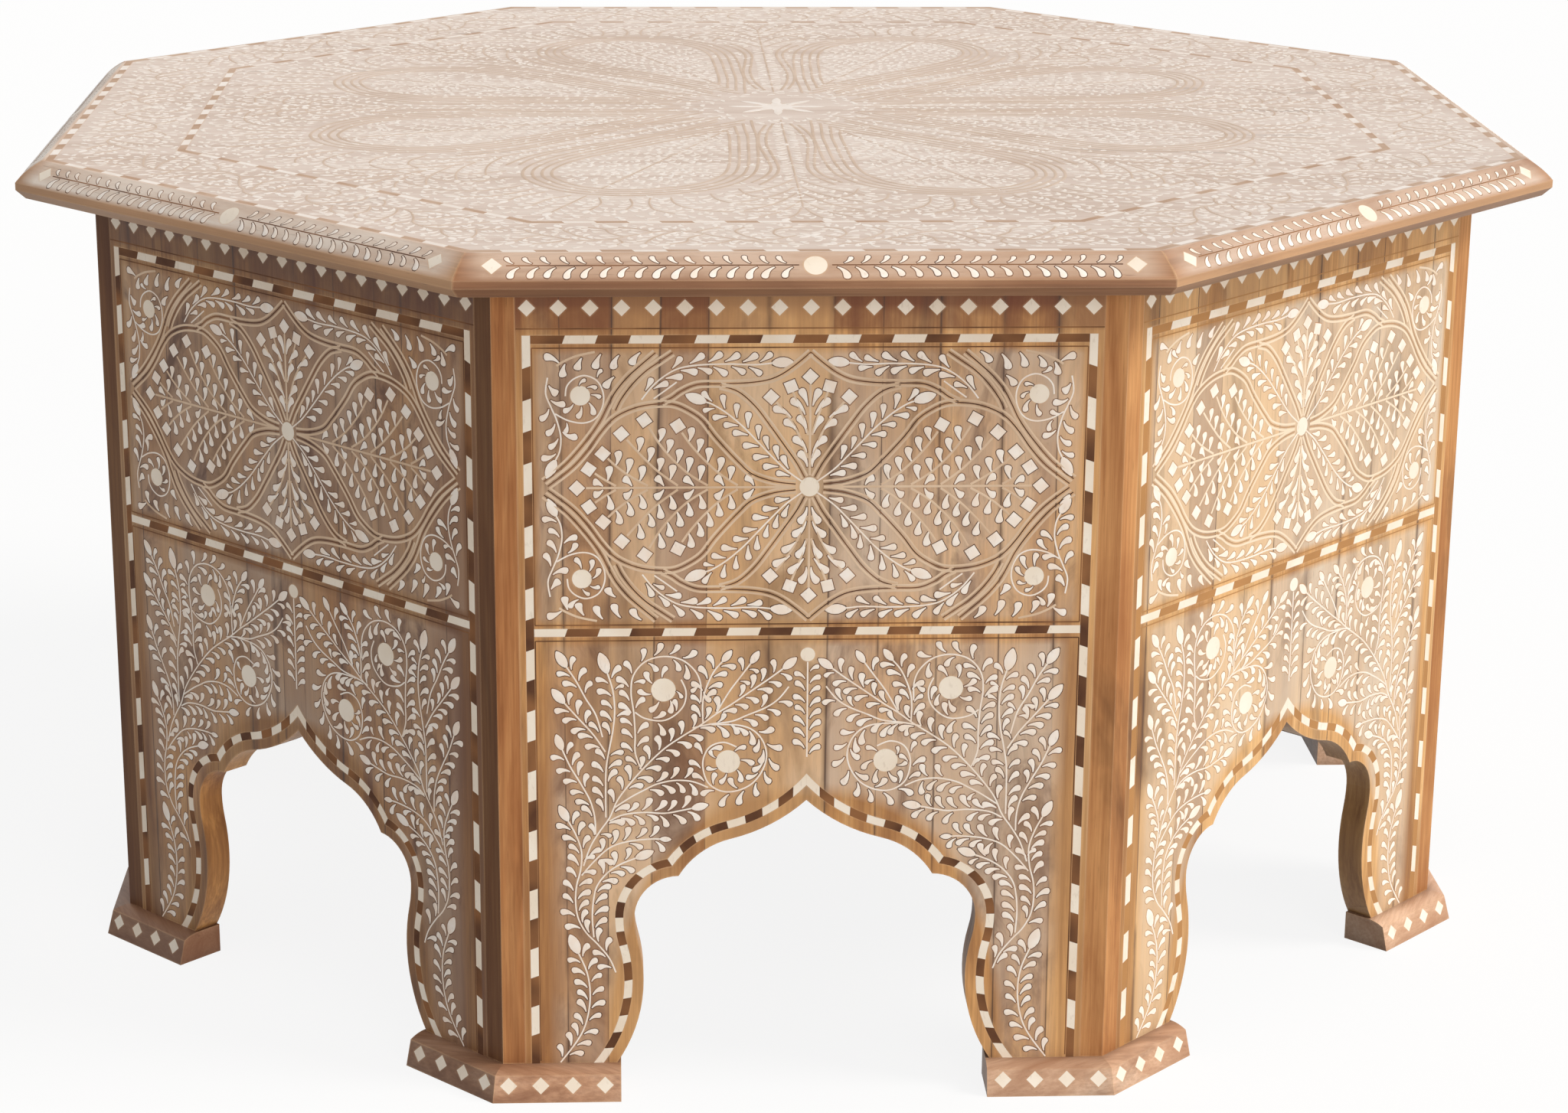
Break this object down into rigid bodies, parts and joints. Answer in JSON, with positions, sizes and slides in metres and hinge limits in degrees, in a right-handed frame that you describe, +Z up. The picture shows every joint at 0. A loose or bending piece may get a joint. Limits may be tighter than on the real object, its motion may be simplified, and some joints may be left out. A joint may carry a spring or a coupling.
{
  "type": "octagonal coffee table",
  "caption": "Low octagonal coffee table of light wood with bone inlay, cusped arches in its sided base, corner posts and plinth feet.",
  "frame": {"origin": "on the floor under the middle of the table", "axes": "+Z up, the front side faces -Y, flat sides face -Y, +Y, -X and +X"},
  "size_m": [0.844, 0.844, 0.457],
  "materials": {
    "panel_wood": "satin varnished light brown hardwood",
    "post_wood": "satin varnished red brown hardwood",
    "foot_wood": "satin varnished red brown hardwood",
    "edge_wood": "satin varnished light brown hardwood",
    "top_wood": "polished pale brown hardwood",
    "hidden_wood": "plain unfinished wood",
    "bone_inlay": "polished cream bone, sanded flush",
    "dark_inlay": "dark brown hardwood, sanded flush",
    "screw_steel": "plain steel"
  },
  "bodies": {
    "root": {"arch_border_bone": "bone_inlay", "arch_border_dark": "dark_inlay", "cleat_screws": "screw_steel", "corner_post_1": "post_wood", "corner_post_2": "post_wood", "corner_post_3": "post_wood", "corner_post_4": "post_wood", "corner_post_5": "post_wood", "corner_post_6": "post_wood", "corner_post_7": "post_wood", "corner_post_8": "post_wood", "edge_discs": "bone_inlay", "edge_lozenges": "bone_inlay", "edge_moulding_1": "edge_wood", "edge_moulding_2": "edge_wood", "edge_moulding_3": "edge_wood", "edge_moulding_4": "edge_wood", "edge_moulding_5": "edge_wood", "edge_moulding_6": "edge_wood", "edge_moulding_7": "edge_wood", "edge_moulding_8": "edge_wood", "edge_splines": "hidden_wood", "foot_1": "foot_wood", "foot_2": "foot_wood", "foot_3": "foot_wood", "foot_4": "foot_wood", "foot_5": "foot_wood", "foot_6": "foot_wood", "foot_7": "foot_wood", "foot_8": "foot_wood", "foot_dowels": "hidden_wood", "foot_lozenges": "bone_inlay", "foot_screws": "screw_steel", "frieze_lozenges": "bone_inlay", "panel_border_bone": "bone_inlay", "panel_border_dark": "dark_inlay", "panel_discs": "bone_inlay", "side_panel_1": "panel_wood", "side_panel_2": "panel_wood", "side_panel_3": "panel_wood", "side_panel_4": "panel_wood", "side_panel_5": "panel_wood", "side_panel_6": "panel_wood", "side_panel_7": "panel_wood", "side_panel_8": "panel_wood", "top_board": "top_wood", "top_border_bone": "bone_inlay", "top_border_dark": "dark_inlay", "top_cleat_1": "hidden_wood", "top_cleat_2": "hidden_wood", "top_cleat_3": "hidden_wood", "top_cleat_4": "hidden_wood", "top_cleat_5": "hidden_wood", "top_cleat_6": "hidden_wood", "top_cleat_7": "hidden_wood", "top_cleat_8": "hidden_wood", "top_screws": "screw_steel", "top_star": "bone_inlay"}
  },
  "joints": []
}
